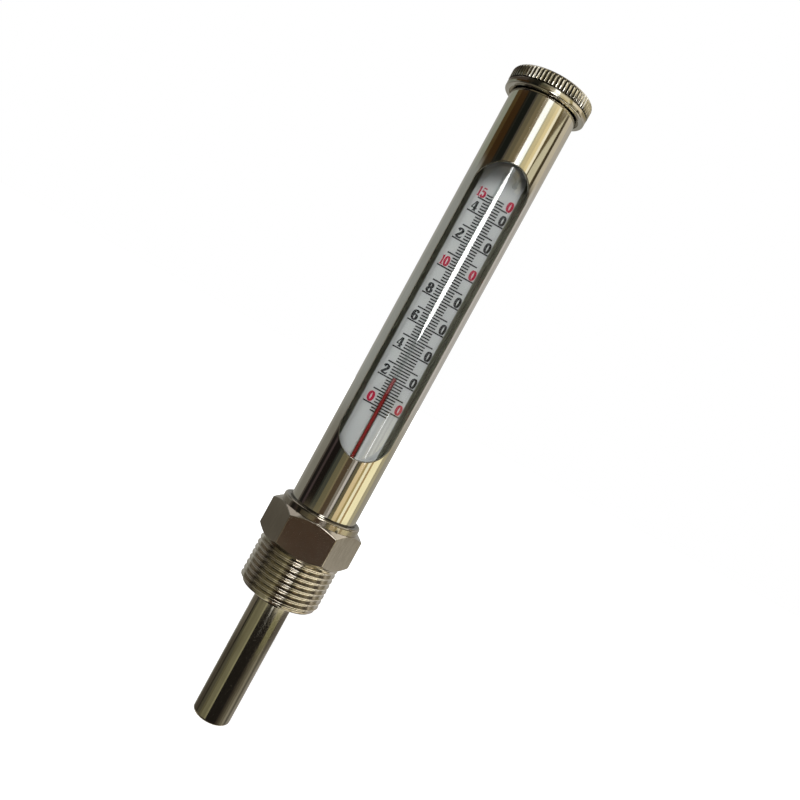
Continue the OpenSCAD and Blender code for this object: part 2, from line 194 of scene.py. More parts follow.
def milky(name, color, shade, through, share):
    """Opal glass: a matt mottled white that lets a share of the light through."""
    material, t = new_paint(name)
    tint = t.blend(t.spread(t.noise((1, 1, 1), MILK_CLOUDS, 3.0), 0.0, 1.0), (*color, 1), (*shade, 1))
    body = t.add("ShaderNodeBsdfPrincipled", Base_Color=tint, Roughness=MILK_ROUGH, Specular_IOR_Level=0.0)
    glow = t.add("ShaderNodeBsdfTranslucent", Color=(*through, 1))
    t.out(t.either(share, body, glow))
    return material


GLASS_TINT, GLASS_IOR, COAT_IOR, DRAW_WAVE, DRAW_DEPTH = (0.985, 0.995, 0.99, 1), 1.49, 1.8, 300, 8e-8


def clear_glass(name, coat=0.0):
    """Glass with a faint draw wave that lets lamps through to what lies behind it."""
    material, t = new_paint(name)
    ripple = t.noise((1, 1, 0.25), DRAW_WAVE, 2.0)
    glass = t.add("ShaderNodeBsdfPrincipled", Base_Color=GLASS_TINT, Roughness=0.0, IOR=GLASS_IOR,
                  Transmission_Weight=1.0, Coat_Weight=coat, Coat_Roughness=0.0, Coat_IOR=COAT_IOR,
                  Normal=t.bump(ripple, DRAW_DEPTH))
    lets = t.math("MAXIMUM", t.ray("Shadow"), t.ray("Diffuse"))
    through = t.add("ShaderNodeBsdfTransparent", Color=GLASS_TINT)
    t.out(t.either(lets, glass, through))
    return material


BORE_STREAKS, BORE_SHADE = 700.0, 0.96


def bore_wall(name, tint):
    """Wall of the filled bore: it doesn't bend the light, as the liquid wets the glass."""
    material, t = new_paint(name)
    streaks = t.spread(t.noise((1, 1, 0.1), BORE_STREAKS, 2.0), 0.0, 1.0)
    shade = t.blend(streaks, (*tint, 1), tuple(BORE_SHADE * v for v in tint) + (1,))
    t.out(t.add("ShaderNodeBsdfTransparent", Color=shade).outputs[0])
    return material


# Each metal: colour, tarnished colour, roughness from and to, depth of its streaks in metres, how fine they are
# along X, Y and Z, how fine its specks are, and its painted groove shade

bright_nickel = metal("bright_nickel", (0.72, 0.70, 0.65), (0.60, 0.57, 0.50), (0.05, 0.07), 1e-7, (900, 900, 12))
# satin_nickel's last numbers paint shade into the connector's mouth, bore and lower end
satin_nickel = metal("satin_nickel", (0.50, 0.46, 0.40), (0.36, 0.32, 0.27), (0.10, 0.14), 1.2e-6,
                     (900, 900, 300), groove_shade=(12.1, 12.85, -30.0, 14.5))
thread_nickel = metal("thread_nickel", (0.66, 0.62, 0.55), (0.46, 0.42, 0.35), (0.07, 0.11), 3e-7, (60, 60, 2600))
# turned_nickel's last numbers paint shade into the knurl's grooves and the neck below them
turned_nickel = metal("turned_nickel", (0.56, 0.53, 0.47), (0.40, 0.37, 0.30), (0.08, 0.13), 6e-7,
                      (60, 60, 2600), 800, (13.1, 13.42, 156.5, 160.0))
stem_nickel = metal("stem_nickel", (0.52, 0.49, 0.42), (0.38, 0.35, 0.28), (0.07, 0.11), 1e-7, (1100, 1100, 30))
inner_brass = metal("inner_brass", (0.46, 0.45, 0.36), (0.34, 0.33, 0.25), (0.25, 0.35), 2e-6,
                    (400, 400, 60), 500, metallic=0.65)
cut_edge = metal("cut_edge", (0.40, 0.37, 0.31), (0.28, 0.25, 0.20), (0.3, 0.4), 6e-7, (300, 300, 900), 700)
tie_metal = metal("tie_metal", (0.64, 0.61, 0.55), (0.42, 0.39, 0.33), (0.25, 0.35), 2e-6, (400, 400, 400), 900)

# Each other solid: colour, second colour, roughness, how fine its grain is, depth of the grain in metres

FAINT_GLOSS = {"Specular_IOR_Level": 0.02}
# milk_glass is set darker than clean opal glass, partly as painted shade from the case round the scale plate
milk_glass = milky("milk_glass", (0.47, 0.48, 0.48), (0.44, 0.45, 0.46), (0.60, 0.61, 0.55), 0.3)
black_print = plain("black_print", (0.006, 0.006, 0.007), (0.010, 0.010, 0.011), 0.5, 3000, 2e-7, **FAINT_GLOSS)
red_print = plain("red_print", (0.32, 0.008, 0.035), (0.26, 0.008, 0.03), 0.4, 3000, 2e-7, **FAINT_GLOSS)
red_liquid = plain("red_liquid", (0.20, 0.001, 0.003), (0.165, 0.001, 0.002), 0.4, 2000, 1e-7, **FAINT_GLOSS)
black_rubber = plain("black_rubber", (0.03, 0.03, 0.032), (0.05, 0.05, 0.052), 0.6, 2500, 2e-5)
cork = plain("cork", (0.42, 0.26, 0.13), (0.26, 0.15, 0.07), 0.8, 1800, 8e-5)
red_fibre = plain("red_fibre", (0.28, 0.06, 0.035), (0.20, 0.04, 0.025), 0.7, 2500, 3e-5)
white_fibre = plain("white_fibre", (0.72, 0.69, 0.62), (0.60, 0.57, 0.50), 0.85, 2600, 1e-4)
metal_powder = plain("metal_powder", (0.16, 0.16, 0.17), (0.24, 0.24, 0.25), 0.55, 6000, 8e-5, Metallic=0.8)
clear = clear_glass("clear_glass")
polished = clear_glass("polished_glass", coat=1.0)
bore_glass = bore_wall("bore_glass", (0.90, 0.91, 0.905))


def dress(name, material):
    mesh = nodes[name].data
    mesh.materials.clear()
    mesh.materials.append(material)


for name, material in {
    "connector": satin_nickel, "stem_tube": stem_nickel, "heat_packing": metal_powder,
    "fibre_plug": white_fibre, "lower_cushion": black_rubber, "glass_sheath": clear,
    "capillary": clear, "scale_plate": milk_glass, "scale_marks": black_print,
    "scale_saddle": cork, "scale_plug": cork, "capillary_tie": tie_metal,
    "bulb_liquid": red_liquid, "liquid_column": red_liquid, "lower_ring": black_rubber,
    "upper_ring": black_rubber, "case_gasket": red_fibre, "case_tube": bright_nickel,
    "upper_cushion": black_rubber, "cap_gasket": red_fibre, "cap": turned_nickel,
}.items():
    dress(name, material)


# Mesh tools

WELD = 4e-7  # metres
ROUND_MOST = 0.45  # share of a side that a rounded corner may take


def mesh_object(name, points, faces, materials=(), smooth=None, picks=None, outwards=True):
    """A mesh from points in millimetres.

    Faces that meet at more than smooth degrees keep a sharp edge, and picks gives each face's material.
    """
    mesh = bpy.data.meshes.new(name)
    mesh.from_pydata([(x * MM, y * MM, z * MM) for x, y, z in points], [], faces)
    for material in materials:
        mesh.materials.append(material)
    if picks:
        mesh.polygons.foreach_set("material_index", picks)
    build = bmesh.new()
    build.from_mesh(mesh)
    bmesh.ops.remove_doubles(build, verts=build.verts, dist=WELD)
    if outwards:
        bmesh.ops.recalc_face_normals(build, faces=build.faces)
    build.to_mesh(mesh)
    build.free()
    obj = bpy.data.objects.new(name, mesh)
    scene.collection.objects.link(obj)
    if smooth is not None:
        mesh.polygons.foreach_set("use_smooth", [True] * len(mesh.polygons))
        mesh.set_sharp_from_angle(angle=math.radians(smooth))
        even = obj.modifiers.new("even", "WEIGHTED_NORMAL")
        even.keep_sharp = True
    return obj


def mix(a, b, part):
    return a + (b - a) * part


def fillet(corners):
    """Points (r, z) of a line whose corners (r, z, radius, steps) are rounded where a radius is given."""
    points = []
    last = len(corners) - 1
    for i, (r, z, radius, steps) in enumerate(corners):
        here = Vector((r, z))
        if i in (0, last) or not radius:
            points.append((r, z))
            continue
        before = Vector(corners[i - 1][:2]) - here
        after = Vector(corners[i + 1][:2]) - here
        angle = before.angle(after)
        reach = min(radius / math.tan(angle / 2), ROUND_MOST * before.length, ROUND_MOST * after.length)
        start = here + before.normalized() * reach
        end = here + after.normalized() * reach
        for k in range(steps + 1):
            t = k / steps
            points.append(tuple(start * (1 - t) ** 2 + here * 2 * t * (1 - t) + end * t ** 2))
    return points


def around(r, angle, z):
    """The point at radius r and height z, angle degrees round from +X."""
    return r * math.cos(math.radians(angle)), r * math.sin(math.radians(angle)), z


def loft(angles, profile):
    """Points and faces of the surface that the profile at each angle sweeps right round."""
    rows = [profile(angle) for angle in angles]
    count = len(rows[0])
    points = [around(r, angle, z) for angle, row in zip(angles, rows) for r, z in row]
    faces = []
    for k in range(len(angles)):
        a, b = k * count, (k + 1) % len(angles) * count
        faces += [(a + j, b + j, b + j + 1, a + j + 1) for j in range(count - 1)]
    return points, faces


# Connector with a right-hand pipe thread

THREAD_R, PITCH, DEPTH, CREST, THREAD_LEN, CHAMFER = 13.22, 1.814, 1.16, 0.3, 16.0, 1.3
FIRST_CREST, CREST_ANGLE, FLANK_ANGLE, THREAD_ROUND, THREAD_TURNS = -1.39, -88.6, 27.5, 0.2, 12
FADE_START, FADE_LEN = 0.12, 0.9  # run-out of the thread under the hexagon
HEX_HALF, HEX_H, HEX_TURN, BEVEL_R, BEVEL_ANGLE = 13.5, 12.0, -3.4, 13.3, 33.0
CORNER_ROUND, BEVEL_ROUND, BEVEL_SHARE, SIDE_STEPS = 0.3, 0.35, 0.8, 30
COLLAR_R, COLLAR_TOP, COLLAR_BORE = 13.05, 14.2, 11.55
SOCKET_R, SOCKET_TOP, SOCKET_LOW = 11.05, 13.7, 6.2
SEAT_R, SEAT_LOW, HOLE_R, HOLE_LOW = 8.05, 2.2, 5.2, -5.95
STEM_R, STEM_END, MOUTH_R, FACE_R = 6.05, -18, 6.6, 7.0

corner_steps = (0.0, 0.2, 0.42, 0.66, 1.0, 1.6)  # degrees from a corner
sector = [-v for v in reversed(corner_steps[1:])] + list(corner_steps)
sector += [mix(corner_steps[-1], 60 - corner_steps[-1], i / SIDE_STEPS) for i in range(1, SIDE_STEPS)]
round_angles = sorted(HEX_TURN + 60 * m + v for m in range(6) for v in sector)


def hexagon_radius(angle):
    """Distance from the axis to the hexagon's side, with rounded corners."""
    off = abs((angle - HEX_TURN) % 60 - 30)
    across = HEX_HALF * math.tan(math.radians(off))
    centre = (HEX_HALF - CORNER_ROUND) / math.cos(math.radians(30))
    if across <= (HEX_HALF - CORNER_ROUND) * math.tan(math.radians(30)):
        return HEX_HALF / math.cos(math.radians(off))
    away = math.radians(30 - off)
    return centre * math.cos(away) + math.sqrt(CORNER_ROUND ** 2 - (centre * math.sin(away)) ** 2)


def connector_profile(angle):
    """The connector's section at an angle: up from the seating plane, then down its bore to the end face."""
    side = hexagon_radius(angle)
    rise = (side - BEVEL_R) * math.tan(math.radians(BEVEL_ANGLE))
    soft = min(BEVEL_ROUND, BEVEL_SHARE * rise)
    return fillet([
        (THREAD_R, 0, 0, 0), (BEVEL_R, 0, 0.03, 2), (side, rise, soft, 3), (side, HEX_H - rise, soft, 3),
        (BEVEL_R, HEX_H, 0.08, 2), (COLLAR_R, HEX_H, 0.06, 2), (COLLAR_R, COLLAR_TOP, 0.7, 7),
        (COLLAR_BORE, COLLAR_TOP, 0.08, 3), (SOCKET_R, SOCKET_TOP, 0.08, 2), (SOCKET_R, SOCKET_LOW, 0, 0),
        (SEAT_R, SOCKET_LOW, 0, 0), (SEAT_R, SEAT_LOW, 0, 0), (HOLE_R, SEAT_LOW, 0, 0), (HOLE_R, HOLE_LOW, 0, 0),
        (STEM_R, HOLE_LOW, 0, 0), (STEM_R, STEM_END, 0, 0), (MOUTH_R, STEM_END, 0.08, 2),
        (FACE_R, -THREAD_LEN, 0.25, 4), (THREAD_R - CHAMFER, -THREAD_LEN, 0, 0)])


def thread_profile():
    """Rounded points (depth, drop) of one pitch, starting in the middle of a crest."""
    flank = DEPTH * math.tan(math.radians(FLANK_ANGLE))
    root = PITCH - CREST - 2 * flank
    half = fillet([(0, 0, 0, 0), (0, CREST / 2, THREAD_ROUND, 4), (DEPTH, CREST / 2 + flank, THREAD_ROUND, 4),
                   (DEPTH, CREST / 2 + flank + root / 2, 0, 0)])
    mirror = [(depth, PITCH - drop) for depth, drop in reversed(half[1:-1])]
    return half + mirror


def thread_points(angles):
    """The helical surface between the seating plane and the end of the thread."""
    shape = thread_profile()
    drops = [(depth, turn * PITCH + drop) for turn in range(THREAD_TURNS) for depth, drop in shape]
    start = FIRST_CREST + 2 * PITCH - PITCH * CREST_ANGLE / 360
    points = []
    for depth, drop in drops:
        for angle in angles:
            z = start + PITCH * angle / 360 - drop
            fade = min(max((-z - FADE_START) / FADE_LEN, 0), 1)
            r = THREAD_R - depth * fade * fade * (3 - 2 * fade)
            r = min(r, THREAD_R - CHAMFER + max(z + THREAD_LEN, 0))
            points.append(around(r, angle, min(max(z, -THREAD_LEN), 0)))
    count, turn_rows = len(angles), len(shape)
    faces = []
    for row in range(len(drops) - 1):
        a = row * count
        faces += [(a + k, a + k + 1, a + k + count + 1, a + k + count) for k in range(count - 1)]
        if row >= turn_rows:
            b = (row - turn_rows) * count
            faces.append((a + count - 1, b, b + count, a + 2 * count - 1))
    return points, faces


def joined(*parts):
    """Points and faces of several surfaces in one list."""
    points, faces = [], []
    for more_points, more_faces in parts:
        base = len(points)
        points += more_points
        faces += [tuple(base + i for i in face) for face in more_faces]
    return points, faces


body, thread = loft(round_angles, connector_profile), thread_points(round_angles)
connector = mesh_object("threaded_connector", *joined(body, thread), [satin_nickel, thread_nickel], smooth=42,
                        picks=[0] * len(body[1]) + [1] * len(thread[1]))
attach(connector, "connector_body")
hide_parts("connector")


# Knurled cap

TEETH, KNURL, CAP_R, CAP_LOW, CAP_TOP, CAP_ROUND = 64, 0.45, 13.5, 154.55, 160.95, 1.5
BAND_R, NECK_R, BAND_TOP, KNURL_LOW, CAP_INSIDE = 13.4, 13.0, 156.5, 156.85, 159.6
CAP_MOUTH_R, CAP_SHOULDER, CAP_BORE_R, CAP_FLAT_R = 11.8, 155.75, 11.05, 6
RIDGE_WEAR, SIDE_WEAR, CROWN_STEPS = 0.0016, 0.0025, 8  # the first two are squares of lengths

tooth_steps = (0.0, 0.08, 0.25, 0.38, 0.44, 0.5)  # from the middle of a groove, along the side
tooth = [-v for v in reversed(tooth_steps[1:])] + list(tooth_steps) + [math.pi * CAP_R / TEETH]
cap_angles = [360 * m / TEETH + math.degrees(v / CAP_R) for m in range(TEETH) for v in tooth]


def knurl_radius(angle):
    """Distance from the axis to the knurled side, with slightly worn edges."""
    off = CAP_R * math.radians((angle + 180 / TEETH) % (360 / TEETH) - 180 / TEETH)
    cut = KNURL - math.sqrt(off * off + RIDGE_WEAR)
    return CAP_R - (cut + math.sqrt(cut * cut + SIDE_WEAR)) / 2


def cap_profile(angle):
    """The cap's section at an angle, from the middle of its top down the outside and up through its bore."""
    side = knurl_radius(angle)
    reach = CAP_R - CAP_ROUND
    stop = math.acos((side - reach) / CAP_ROUND)
    crown = [(reach + CAP_ROUND * math.cos(a), CAP_TOP - CAP_ROUND + CAP_ROUND * math.sin(a))
             for a in [mix(math.pi / 2, stop, i / CROWN_STEPS) for i in range(CROWN_STEPS + 1)]]
    rest = fillet([
        (side, crown[-1][1], 0, 0), (side, KNURL_LOW, 0.1, 2), (NECK_R, KNURL_LOW, 0, 0),
        (NECK_R, BAND_TOP, 0, 0), (BAND_R, BAND_TOP, 0.12, 3), (BAND_R, CAP_LOW, 0.5, 5),
        (CAP_MOUTH_R, CAP_LOW, 0.08, 2), (CAP_MOUTH_R, CAP_SHOULDER, 0, 0), (CAP_BORE_R, CAP_SHOULDER, 0, 0),
        (CAP_BORE_R, CAP_INSIDE, 0, 0), (0, CAP_INSIDE, 0, 0)])
    return [(0, CAP_TOP), (CAP_FLAT_R, CAP_TOP)] + crown + rest[1:]


cap = mesh_object("knurled_cap", *loft(cap_angles, cap_profile), [turned_nickel], smooth=50)
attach(cap, "cap_body")
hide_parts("cap")


# Case tube with a finely broken edge round its window

CASE_R, CASE_BORE, CASE_LOW, CASE_TOP = 11.0, 10.0, 7.2, 158.6
WINDOW_HALF, WINDOW_LOW, WINDOW_HIGH, WINDOW_TURN, EDGE = 8.6, 33.9, 132.6, 1.0, 0.13
ARC_STEPS, LONG_STEPS, END_STEPS, EDGE_STEPS, WALL_STEPS = 28, 8, 4, 3, 120


def window_edge(out):
    """Right-hand edge of the window from its lower tip to its upper tip, moved out into the wall."""
    half = WINDOW_HALF + out
    low, high = WINDOW_LOW + WINDOW_HALF, WINDOW_HIGH - WINDOW_HALF
    bend = [math.radians(90 * i / ARC_STEPS) for i in range(ARC_STEPS + 1)]
    return ([(half * math.sin(a), low - half * math.cos(a)) for a in bend]
            + [(half, mix(low, high, i / LONG_STEPS)) for i in range(1, LONG_STEPS)]
            + [(half * math.cos(a), high + half * math.sin(a)) for a in bend])


def case_wall(radius):
    """One face of the tube's wall as rows of points, each from the window's right edge round to its left."""
    edge = window_edge(EDGE)
    levels = [(0, mix(CASE_LOW, edge[0][1], i / END_STEPS)) for i in range(END_STEPS)] + edge
    levels += [(0, mix(edge[-1][1], CASE_TOP, i / END_STEPS)) for i in range(1, END_STEPS + 1)]
    rows = []
    for half, z in levels:
        open_angle = math.degrees(math.asin(half / radius))
        rows.append([around(radius, WINDOW_TURN - 90 + mix(open_angle, 360 - open_angle, j / WALL_STEPS), z)
                     for j in range(WALL_STEPS + 1)])
    return rows


def grid(rows):
    """Points and faces of a sheet between rows of points."""
    count = len(rows[0])
    faces = [(i * count + j, i * count + j + 1, (i + 1) * count + j + 1, (i + 1) * count + j)
             for i in range(len(rows) - 1) for j in range(count - 1)]
    return [point for row in rows for point in row], faces


def window_rim(side):
    """The cut face of the wall along one side of the window, with its broken edges."""
    rows = []
    bends = [math.pi / 2 * k / EDGE_STEPS for k in range(EDGE_STEPS + 1)]
    section = [(CASE_R - EDGE * (1 - math.cos(a)), EDGE * (1 - math.sin(a))) for a in bends]
    section += [(CASE_BORE + EDGE * (1 - math.cos(a)), EDGE * (1 - math.sin(a))) for a in reversed(bends)]
    for radius, out in section:
        rows.append([around(radius, WINDOW_TURN - 90 + side * math.degrees(math.asin(half / radius)), z)
                     for half, z in window_edge(out)])
    return rows


outer, inner = case_wall(CASE_R), case_wall(CASE_BORE)
parts = [grid(outer), grid(inner), grid([outer[0], inner[0]]), grid([outer[-1], inner[-1]])]
parts += [grid(window_rim(side)) for side in (1, -1)]
picks = [i for i, part in zip((0, 1, 1, 1, 2, 2), parts) for face in part[1]]
case = mesh_object("case_shell", *joined(*parts), [bright_nickel, inner_brass, cut_edge], smooth=40, picks=picks)
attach(case, "case_body")
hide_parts("case_tube")


# Glass sheath with its bulb

SHEATH_R, SHEATH_BORE, DOME_Z, SHOULDER_LOW, SHOULDER_HIGH, INSIDE_LOW = 9.0, 8.0, 145.0, 5, 13, 15
BULB_R, BULB_BORE, BULB_Z, BULB_HIGH, BULB_ROOF = 3.9, 3.1, -52.1, -24.0, -24.8
GLASS_STEM_R, FUNNEL_R, FUNNEL_Z, BORE_R = 3.75, 1.25, 9.5, 0.42
GLASS_SIDES = 240


def quarter(r, z, start, end, steps=14):
    """Points of an arc about (0, z), between two angles in degrees."""
    bends = [math.radians(mix(start, end, i / steps)) for i in range(steps + 1)]
    return [(max(r * math.cos(a), 0.0), z + r * math.sin(a)) for a in bends]


glass_outside = quarter(BULB_R, BULB_Z, -90, 0)[:-1] + fillet([
    (BULB_R, BULB_Z, 0, 0), (BULB_R, BULB_HIGH, 0.1, 3), (GLASS_STEM_R, BULB_HIGH, 0, 0),
    (GLASS_STEM_R, SHOULDER_LOW, 1.5, 5), (SHEATH_R, SHOULDER_HIGH, 3.0, 7), (SHEATH_R, DOME_Z, 0, 0),
])[:-1] + quarter(SHEATH_R, DOME_Z, 0, 90)
glass_inside = quarter(SHEATH_BORE, DOME_Z, 90, 0)[:-1] + fillet([
    (SHEATH_BORE, DOME_Z, 0, 0), (SHEATH_BORE, INSIDE_LOW, 2.0, 6), (FUNNEL_R, FUNNEL_Z, 0, 0),
    (BORE_R, FUNNEL_Z, 0, 0), (BORE_R, BULB_ROOF, 0, 0), (BULB_BORE, BULB_ROOF, 0.5, 4),
    (BULB_BORE, BULB_Z, 0, 0),
])[:-1] + quarter(BULB_BORE, BULB_Z, 0, -90)
glass_angles = [360 * i / GLASS_SIDES for i in range(GLASS_SIDES)]
outer = loft(glass_angles, lambda _: glass_outside)
inner = loft(glass_angles, lambda _: glass_inside)
sheath = mesh_object("blown_sheath", *joined(outer, inner), [polished, clear], smooth=35,
                     picks=[0] * len(outer[1]) + [1] * len(inner[1]), outwards=False)
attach(sheath, "connector_body")
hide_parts("glass_sheath")


# Capillary with its hook

CAPILLARY_R, CAPILLARY_LOW, HOOK_R, HOOK_Z, HOOK_TAIL = 0.95, 9.55, 2.0, 130.5, 0.8
ROD_SIDES, ROD_STEPS, HOOK_STEPS, TIP_STEPS = 40, 8, 24, 8


def hooked_surface(r):
    """Points and faces of a rod of radius r that bends over into a hook with a round end."""
    path = [((0, mix(CAPILLARY_LOW, HOOK_Z, i / ROD_STEPS)), -1, 0, r) for i in range(ROD_STEPS)]
    for i in range(HOOK_STEPS + 1):
        bend = math.pi - math.pi * i / HOOK_STEPS
        nx, nz = math.cos(bend), math.sin(bend)
        path.append(((HOOK_R + HOOK_R * nx, HOOK_Z + HOOK_R * nz), nx, nz, r))
    end = HOOK_Z - HOOK_TAIL
    for i in range(TIP_STEPS + 1):
        a = math.pi / 2 * i / TIP_STEPS
        path.append(((2 * HOOK_R, end - r * math.sin(a)), 1, 0, r * math.cos(a)))
    points, faces = [], []
    for (x, z), nx, nz, size in path:
        for j in range(ROD_SIDES):
            a = 2 * math.pi * j / ROD_SIDES
            points.append((x + size * math.cos(a) * nx, size * math.sin(a), z + size * math.cos(a) * nz))
    for i in range(len(path) - 1):
        for j in range(ROD_SIDES):
            k = (j + 1) % ROD_SIDES
            faces.append((i * ROD_SIDES + j, (i + 1) * ROD_SIDES + j, (i + 1) * ROD_SIDES + k, i * ROD_SIDES + k))
    return points, faces


rod, bore = hooked_surface(CAPILLARY_R), hooked_surface(BORE_R)
end_face = []
for j in range(ROD_SIDES):
    k = (j + 1) % ROD_SIDES
    end_face.append((j, k, len(rod[0]) + k, len(rod[0]) + j))
points, faces = joined(rod, (bore[0], [face[::-1] for face in bore[1]]))
tube = mesh_object("hooked_capillary", points, faces + end_face, [clear, bore_glass], smooth=50,
                   picks=[0] * len(rod[1]) + [1] * len(bore[1]) + [0] * ROD_SIDES)
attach(tube, "connector_body")
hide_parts("capillary")


# Figures of the scale

PEN_WIDE, PEN_FLAT = 0.44, 0.22  # the pen's half widths
ZERO_Z, DEGREE, MARK_X, PLATE_FRONT, PRINT = 50.27, 0.4747, 0.75, 1.02, 0.03
LEFT_X, RIGHT_X, FIGURE_LIFT = -4.7, 5.15, 0.42
LEFT_WIDE, PAIR_WIDE, RIGHT_WIDE = 1.05, 0.86, 1.03  # shares of a figure's plain width
SPREAD = 0.06  # how far the corners of the scale's lines move out, as their ink spreads
SCALE, RED = [*range(0, 141, 20), 150], (0, 100, 150)
FLAT_WELD = 1e-5  # millimetres
BALL_SIDES = 20


def oval(x, y, rx, ry, count=32):
    turns = [2 * math.pi * i / count for i in range(count)]
    return [(x + rx * math.cos(a), y + ry * math.sin(a)) for a in turns]


def smooth_path(points, steps=6):
    """A smooth (Catmull-Rom) line through the points."""
    ends = [points[0], *points, points[-1]]
    path = []
    for a, b, c, d in zip(ends, ends[1:], ends[2:], ends[3:]):
        for i in range(steps):
            t = i / steps
            path.append(tuple(0.5 * (2 * q + (r - p) * t + (2 * p - 5 * q + 4 * r - s) * t * t
                                     + (3 * q - p - 3 * r + s) * t ** 3) for p, q, r, s in zip(a, b, c, d)))
    return path + [points[-1]]


def pen(path, closed=False):
    """Areas covered by a broad pen: wide where the line runs upright, thin where it runs level."""
    count = len(path)
    edges = []
    for i, (x, y) in enumerate(path):
        a = path[i - 1] if i or closed else path[0]
        b = path[(i + 1) % count] if i + 1 < count or closed else path[-1]
        nx, ny = a[1] - b[1], b[0] - a[0]
        reach = math.hypot(PEN_WIDE * nx, PEN_FLAT * ny)
        ox, oy = PEN_WIDE ** 2 * nx / reach, PEN_FLAT ** 2 * ny / reach
        edges.append(((x - ox, y - oy), (x + ox, y + oy)))
    pairs = list(zip(edges, edges[1:] + edges[:1])) if closed else list(zip(edges, edges[1:]))
    return [[a[0], b[0], b[1], a[1]] for a, b in pairs]


def loop(*values):
    """A closed stroke along an oval."""
    return pen(oval(*values), True)


def ball(x, y, r):
    """The round end of a stroke."""
    return [oval(x, y, r, r, BALL_SIDES)]


SERIF = [(0.0, 0.0), (1.2, 0.0), (1.2, 0.22), (0.0, 0.22)]


def moved(shape, x):
    return [(px + x, py) for px, py in shape]


# Width of each figure, and the areas that it is made of, about 3.2 high
GLYPHS = {
    "0": (1.95, loop(0.975, 1.6, 0.67, 1.5)),
    "1": (1.3, [moved(SERIF, 0.05), [(0.36, 0.1), (0.99, 0.1), (0.99, 3.2), (0.76, 3.2), (0.36, 2.9)],
                [(0.42, 2.95), (0.0, 2.72), (0.0, 2.58), (0.42, 2.72)]]),
    "2": (1.9, pen(smooth_path([(0.34, 2.42), (0.46, 2.88), (0.93, 3.115), (1.4, 2.88), (1.52, 2.35), (1.3, 1.8),
                                (0.85, 1.25), (0.4, 0.72), (0.24, 0.3)]))
          + ball(0.46, 2.42, 0.27)
          + [[(0.08, 0.0), (1.6, 0.0), (1.78, 0.25), (1.9, 0.95), (1.78, 0.95), (1.62, 0.66), (1.3, 0.52),
              (0.5, 0.5), (0.2, 0.42)]]),
    "4": (1.95, [[(0.85, 3.2), (1.2, 3.2), (0.36, 1.0), (0.0, 1.0)],
                 [(0.0, 0.78), (1.95, 0.78), (1.95, 1.12), (0.0, 1.12)],
                 [(0.88, 0.1), (1.65, 0.1), (1.65, 3.2), (1.0, 3.2), (0.88, 2.85)], moved(SERIF, 0.65)]),
    "5": (1.9, [[(0.32, 3.2), (1.66, 3.2), (1.52, 2.7), (0.45, 2.72)],
                [(0.3, 1.55), (0.46, 1.6), (0.46, 3.0), (0.3, 3.0)]]
          + pen(smooth_path([(0.38, 1.62), (0.62, 1.92), (0.98, 2.0), (1.4, 1.74), (1.54, 1.06), (1.38, 0.38),
                             (0.94, 0.09), (0.52, 0.18), (0.36, 0.5)]))
          + ball(0.47, 0.62, 0.27)),
    "6": (1.95, loop(0.98, 0.99, 0.66, 0.88)
          + pen(smooth_path([(1.5, 2.6), (1.36, 2.96), (1.02, 3.115), (0.6, 2.86), (0.36, 2.25), (0.28, 1.5),
                             (0.29, 0.95)]))
          + ball(1.42, 2.52, 0.26)),
    "8": (1.95, loop(0.975, 2.42, 0.53, 0.68) + loop(0.975, 0.88, 0.65, 0.78)),
}


def holds(shape, place):
    """Whether a flat shape holds a point."""
    inside = False
    for a, b in zip(shape, shape[1:] + shape[:1]):
        if (a.y > place.y) != (b.y > place.y):
            inside ^= place.x < a.x + (b.x - a.x) * (place.y - a.y) / (b.y - a.y)
    return inside


def glyph_surface(text, centre, low, squeeze):
    """Raised print of a number in the plane of the scale."""
    width = sum(GLYPHS[c][0] for c in text) * squeeze
    flat, areas = [], []
    x = centre - width / 2
    for c in text:
        for area in GLYPHS[c][1]:
            areas.append(list(range(len(flat), len(flat) + len(area))))
            flat += [Vector((x + px * squeeze, low + py)) for px, py in area]
        x += GLYPHS[c][0] * squeeze
    shapes = [[flat[i] for i in area] for area in areas]
    points, _, faces, *_ = delaunay_2d_cdt(flat, [], areas, 0, FLAT_WELD)
    front = [tuple(face) for face in faces
             if any(holds(shape, sum((points[i] for i in face), Vector((0, 0))) / 3) for shape in shapes)]
    count = len(points)
    borders = {}
    for face in front:
        for a, b in zip(face, face[1:] + face[:1]):
            borders[(a, b)] = (b, a) not in borders
            if (b, a) in borders:
                borders[(b, a)] = False
    solid = front + [tuple(i + count for i in reversed(face)) for face in front]
    solid += [(b, a, a + count, b + count) for (a, b), free in borders.items() if free]
    return [(p.x, y, p.y) for y in (PLATE_FRONT - PRINT, PLATE_FRONT) for p in points], solid


figures = {"black": [], "red": []}
for degrees in SCALE:
    ink = "red" if degrees in RED else "black"
    left = str(degrees // 10) if degrees in (100, 150) else str(degrees // 10 % 10)
    low = ZERO_Z + degrees * DEGREE + FIGURE_LIFT
    figures[ink].append(glyph_surface(left, MARK_X + LEFT_X, low, PAIR_WIDE if len(left) > 1 else LEFT_WIDE))
    figures[ink].append(glyph_surface("0", MARK_X + RIGHT_X, low, RIGHT_WIDE))
for ink, material in (("black", black_print), ("red", red_print)):
    print_piece = mesh_object(f"figures_{ink}", *joined(*figures[ink]), [material])
    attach(print_piece, "connector_body")
spread = nodes["scale_marks"].modifiers.new("ink_spread", "DISPLACE")
spread.strength, spread.mid_level = SPREAD * MM, 0.0


# Lights, floor and the cards that the metal reflects

WHITE, ROOM_LIGHT = (1, 1, 1, 1), (0.17, 0.175, 0.18, 1)

world = bpy.data.worlds.new("studio")
scene.world = world
t = Tree(world)
seen = t.math("MAXIMUM", t.ray("Camera"), t.math("MAXIMUM", t.ray("Glossy"), t.ray("Transmission")))
t.out(t.add("ShaderNodeBackground", Color=t.blend(seen, ROOM_LIGHT, WHITE), Strength=1.0).outputs[0],
      "ShaderNodeOutputWorld")


